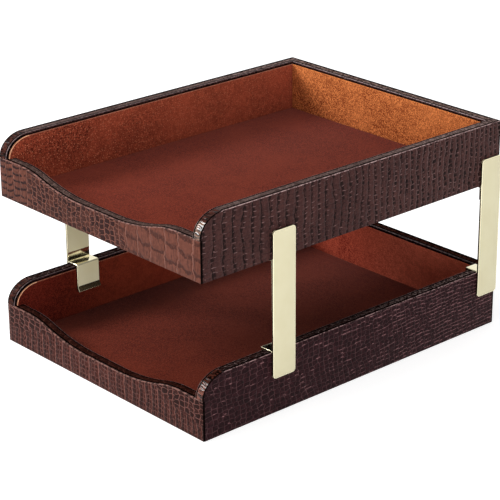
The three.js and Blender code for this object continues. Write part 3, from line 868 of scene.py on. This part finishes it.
def make_cross_hide(name, height, drop, steps, face):
    """The leather of a wall between the side walls, with the plates that cover their ends. It is made
    facing the front."""
    piece = block(name, (-HALF_WIDTH, FRONT, 0), (HALF_WIDTH, FRONT + LEATHER, height))
    dress(piece, face, LOWER_CROSS_RIM, CROSS_EDGE)
    edit(piece)
    cut("X", -INNER_X)
    cut("X", INNER_X)
    pick("FACE", lambda place, normal: normal.y > 0.9 and abs(place.x) < INNER_X)
    bpy.ops.mesh.extrude_region_move(TRANSFORM_OT_translate={"value": (0, WALL - LEATHER, 0)})
    stations = [INNER_X * k / steps for k in range(1 - steps, steps)]
    for x in stations:
        cut("X", x)
    for x in stations:
        pick("VERT", lambda place: near(place.x, x) and near(place.z, height))
        bpy.ops.transform.translate(value=(0, 0, -drop(x)))
    ease_edges(EASED_EDGE, 3)
    inner_seam_width = SEAM_WIDTH if height == WALL_HEIGHT else INNER_SEAM_WIDTH
    inner_stop = FRONT + WALL - INNER_BEAD
    outer = (FRONT + BEAD, FRONT + BEAD + SEAM_WIDTH)
    inner = (inner_stop - inner_seam_width, inner_stop)
    for place in (*outer, *inner):
        cut("Y", place)

    def on_top(place, normal):
        return normal.z > 0.6 and abs(place.x) < INNER_X

    paint(ON_RIM, lambda place, normal: on_top(place, normal) and place.y > outer[0])
    paint(ON_EDGE, lambda place, normal: place.z > height - drop(place.x) - 1.0 * MM
          and place.y < outer[0] and normal.z > 0.1)
    paint(ON_SEAM_AND_SHADE, lambda place, normal: abs(place.x) > HALF_WIDTH - EASED_EDGE and abs(normal.x) > 0.1)
    paint(ON_INNER_EDGE, lambda place, normal: place.y > FRONT + WALL - EASED_EDGE
          and 0.1 < normal.y < 0.99 and normal.z > 0.1)
    if height == WALL_HEIGHT:
        shade_under_rim(lambda place, normal: near(place.y, FRONT + WALL) and normal.y > 0.9)
    for low, high in (outer, inner):
        sink_seam(lambda place, normal: low < place.y < high and on_top(place, normal))
    leave()
    return piece


def hollow(piece, board):
    """Takes the space of the board out of a hide."""
    take(piece)
    pocket = piece.modifiers.new("pocket", "BOOLEAN")
    pocket.operation = "DIFFERENCE"
    pocket.solver = "EXACT"
    pocket.object = frame["nodes"][board]
    bpy.ops.object.modifier_apply(modifier=pocket.name)
    edit(piece)
    merge_points(0.01 * MM)
    leave()


def copy_of(piece, name):
    twin = piece.copy()
    twin.data = piece.data.copy()
    twin.name = name
    bpy.context.scene.collection.objects.link(twin)
    return twin


def mirror(piece, axis):
    """Turns a piece over to the other side of the tray."""
    edit(piece)
    value = (-1 if axis == "X" else 1, -1 if axis == "Y" else 1, 1)
    bpy.ops.transform.resize(value=value, center_override=(0, 0, 0))
    bpy.ops.mesh.flip_normals()
    leave()
    return piece


def lift(piece, rise):
    edit(piece)
    bpy.ops.transform.translate(value=(0, 0, rise))
    leave()
    return piece


def hand_over(piece, body, node, angle=HIDE_SHADE_ANGLE):
    """Shades a finished piece and ties it to the frame."""
    take(piece)
    bpy.ops.object.shade_smooth_by_angle(angle=math.radians(angle))
    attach(piece, body)
    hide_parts(node)


def eased_copy(node, name, width, *materials):
    """A copy of a node of the frame with its triangles merged into flat faces and its edges rounded. The
    last material goes on the edges."""
    piece = bpy.data.objects.new(name, frame["nodes"][node].data.copy())
    bpy.context.scene.collection.objects.link(piece)
    piece.data.materials.clear()
    for material in materials:
        piece.data.materials.append(material)
    edit(piece)
    merge_flat(0.002 * MM)
    bpy.ops.mesh.normals_make_consistent(inside=False)
    ease_edges(width, 3, len(materials) - 1)
    leave()
    return piece


def make_hides():
    """The leather walls of both trays."""
    right = make_side_hide()
    left = mirror(copy_of(right, "lower_left_hide"), "X")
    front = make_cross_hide("lower_front_hide", FRONT_HEIGHT, scoop_drop, SCOOP_STEPS, LOWER_FRONT)
    back = mirror(make_cross_hide("lower_back_hide", WALL_HEIGHT, lambda x: 0.0, 2, LOWER_BACK), "Y")
    upper_faces = (UPPER_SIDE, UPPER_SIDE, UPPER_FRONT, UPPER_BACK)
    for wall, lower, upper_face in zip(WALLS, (right, left, front, back), upper_faces):
        hollow(lower, f"lower_{wall}_board")
        # The left and back walls get painted shade on their outer edge.
        if wall in ("left", "back"):
            lower.data.materials[ON_EDGE] = PAINTED_SHADE_EDGE
            shade_far_bead(lower)
        upper = lift(copy_of(lower, f"upper_{wall}_hide"), TRAY_PITCH)
        upper.data.materials[ON_FACES] = upper_face
        upper.data.materials[ON_RIM] = SIDE_RIM if wall in ("left", "right") else CROSS_RIM
        # The right walls get the lit copies: painted highlights on their edge and on the front of their
        # noses.
        if wall == "right":
            upper.data.materials[ON_EDGE] = SIDE_EDGE
            upper.data.materials[ON_NOSE_FRONT] = LIT_UPPER_RIGHT_NOSE
            lower.data.materials[ON_NOSE_FRONT] = LIT_LOWER_RIGHT_NOSE
        for tray, hide in (("lower", lower), ("upper", upper)):
            hand_over(hide, f"{tray}_tray", f"{tray}_{wall}_leather")


def paint_top_highlight(piece, rise, top):
    """Gives the straight part of a lining's upper edge a fainter painted highlight, and leaves its
    lower edges plain.
    """
    piece.data.materials.append(SUEDE_TOP_HIGHLIGHT)
    edit(piece)
    paint(ON_NAP, lambda place, normal: place.z < rise + FRONT_HEIGHT + 1 * MM)
    paint(ON_TOP_HIGHLIGHT, lambda place, normal: place.z > top - 0.6 * MM and place.y > NOSE_CENTRE)
    leave()


def make_linings():
    """The suede on the walls and floors, with a painted highlight where it is turned over the noses."""
    suedes = {
        "lower": {"left": SHADED_RED_SUEDE, "right": SHADED_RED_SUEDE, "front": SHADED_RED_SUEDE,
                  "back": LOWER_BACK_SUEDE, "floor": FLOOR_SUEDE},
        "upper": {"left": RUST_SUEDE, "right": RUST_SUEDE, "front": RUST_SUEDE,
                  "back": TAN_SUEDE, "floor": FLOOR_SUEDE},
    }
    for tray, walls in suedes.items():
        for wall, material in walls.items():
            node = f"{tray}_{wall}_lining"
            side = wall in ("left", "right")
            edge = SUEDE_EDGE_HIGHLIGHT if side else material
            piece = eased_copy(node, f"{tray}_{wall}_suede", SUEDE_ROUNDING, material, edge)
            if side:
                paint_top_highlight(piece, TRAY_PITCH if tray == "upper" else 0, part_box(node)[1].z)
            hand_over(piece, f"{tray}_tray", node)


def faces_inward(place, normal):
    """Whether a face of the brass looks at the middle of the trays."""
    return normal.x * place.x < 0 and abs(normal.x) > 0.99


def make_posts():
    """Strap, clip and ledge of each post. Their rounded edges, the shelf of the clip and the foot of the
    strap are the brightest, of mirror brass with a painted highlight on the rounded edges. The faces
    turned inwards carry painted light, and the sawn sides and the lip of the clip carry painted shade."""
    for post in POSTS:
        for part, width in BRASS_ROUNDING.items():
            node = f"{post}_{part}"
            piece = eased_copy(node, f"{node}_polished", width, BRASS, BRASS_PAINTED_SHADE, BRASS_PAINTED_LIGHT, BRASS_MIRROR)
            edit(piece)
            if part == "strap":
                cut("Z", FOOT_TOP)
            # Painted light on the faces turned inwards.
            paint(ON_PAINTED_LIGHT, faces_inward)
            # Painted shade on the sawn sides, and on the strap's top and bottom.
            paint(ON_PAINTED_SHADE, lambda place, normal: abs(normal.y) > 0.99)
            if part == "strap":
                paint(ON_PAINTED_SHADE, lambda place, normal: abs(normal.z) > 0.99)
                paint(ON_MIRROR, lambda place, normal: faces_inward(place, normal) and place.z < FOOT_TOP)
            if part == "clip":
                paint(ON_MIRROR, lambda place, normal: abs(normal.z) > 0.99)
                # Painted shade on the lip of the clip.
                paint(ON_PAINTED_SHADE, lambda place, normal: place.z < LIP_TOP and 0.3 < normal.z < 0.8
                      and abs(normal.y) < 0.3)
            leave()
            hand_over(piece, post, node, BRASS_SHADE_ANGLE)


def finish_hidden_nodes():
    """The felt and the boards keep the frame's own shapes."""
    for name, node in frame["nodes"].items():
        for ending, material in (("_felt", FELT), ("_board", BOARD)):
            if name.endswith(ending):
                node.data.materials.clear()
                node.data.materials.append(material)


# Floor, light and camera

def camera_only_light(tree, shader, strength):
    """Adds white light that only the eye, mirrors and glass see."""
    path = tree.nodes.new("ShaderNodeLightPath")
    seen = path.outputs["Is Camera Ray"]
    for name in ("Is Glossy Ray", "Is Transmission Ray"):
        either = tree.nodes.new("ShaderNodeMath")
        either.operation = "MAXIMUM"
        tree.links.new(seen, either.inputs[0])
        tree.links.new(path.outputs[name], either.inputs[1])
        seen = either.outputs[0]
    scaled = tree.nodes.new("ShaderNodeMath")
    scaled.operation = "MULTIPLY"
    tree.links.new(seen, scaled.inputs[0])
    scaled.inputs[1].default_value = strength
    glow = tree.nodes.new("ShaderNodeEmission")
    tree.links.new(scaled.outputs[0], glow.inputs["Strength"])
    add = tree.nodes.new("ShaderNodeAddShader")
    tree.links.new(shader, add.inputs[0])
    tree.links.new(glow.outputs[0], add.inputs[1])
    return add.outputs[0]


def make_floor():
    """A wide white floor, a hair under the felt."""
    deselect_all()
    bpy.ops.mesh.primitive_plane_add(size=30, location=(0, 0, -0.02 * MM))
    floor = bpy.context.object
    floor.name = "floor"
    material = bpy.data.materials.new("floor_white")
    material.use_nodes = True
    tree = material.node_tree
    surface = tree.nodes["Principled BSDF"]
    surface.inputs["Base Color"].default_value = (0.8, 0.8, 0.8, 1)
    surface.inputs["Roughness"].default_value = 1.0
    surface.inputs["Specular IOR Level"].default_value = 0.0
    output = tree.nodes["Material Output"]
    tree.links.new(camera_only_light(tree, surface.outputs[0], FLOOR_GLOW), output.inputs["Surface"])
    floor.data.materials.append(material)


def make_world():
    """A plain white studio all round."""
    world = bpy.data.worlds.new("studio")
    bpy.context.scene.world = world
    world.use_nodes = True
    tree = world.node_tree
    sky = tree.nodes["Background"]
    sky.inputs["Color"].default_value = (1, 1, 1, 1)
    sky.inputs["Strength"].default_value = SKY_LIGHT
    output = tree.nodes["World Output"]
    tree.links.new(camera_only_light(tree, sky.outputs[0], SKY_GLOW), output.inputs["Surface"])


def away_from_aim(yaw, pitch):
    """The direction from the tray to something that looks at it."""
    return Vector((math.sin(yaw) * math.cos(pitch), -math.cos(yaw) * math.cos(pitch), math.sin(pitch)))


def make_lamp(name, azimuth, elevation, distance, size, power):
    """A soft square lamp that looks at the tray, placed by the same angles as a camera."""
    back = away_from_aim(math.radians(azimuth), math.radians(elevation))
    data = bpy.data.lights.new(name, "AREA")
    data.size = size
    data.energy = power
    lamp = bpy.data.objects.new(name, data)
    lamp.location = Vector((0, 0, 0.1)) + back * distance
    lamp.rotation_euler = (-back).to_track_quat("-Z", "Y").to_euler()
    bpy.context.scene.collection.objects.link(lamp)


def make_camera():
    """The photograph's camera."""
    back = away_from_aim(CAMERA_YAW, CAMERA_PITCH)
    level = Vector((math.cos(CAMERA_YAW), math.sin(CAMERA_YAW), 0))
    upright = back.cross(level)
    right = level * math.cos(CAMERA_ROLL) + upright * math.sin(CAMERA_ROLL)
    up = upright * math.cos(CAMERA_ROLL) - level * math.sin(CAMERA_ROLL)
    data = bpy.data.cameras.new("camera")
    data.lens = CAMERA_LENS
    data.sensor_width = 36
    camera = bpy.data.objects.new("camera", data)
    place = CAMERA_AIM + back * CAMERA_DISTANCE + right * CAMERA_RIGHT + up * CAMERA_UP
    camera.matrix_world = Matrix.Translation(place) @ Matrix((right, up, back)).transposed().to_4x4()
    bpy.context.scene.collection.objects.link(camera)
    bpy.context.scene.camera = camera


make_camera()
make_world()
make_floor()
make_lamp("key", azimuth=-44, elevation=31, distance=1.6, size=0.55, power=18)
make_lamp("top", azimuth=20, elevation=78, distance=1.5, size=1.0, power=6)
make_lamp("fill", azimuth=84, elevation=10, distance=1.7, size=0.7, power=16)
make_hides()
make_linings()
make_posts()
finish_hidden_nodes()
bpy.context.scene.view_settings.view_transform = "Standard"

deselect_all()
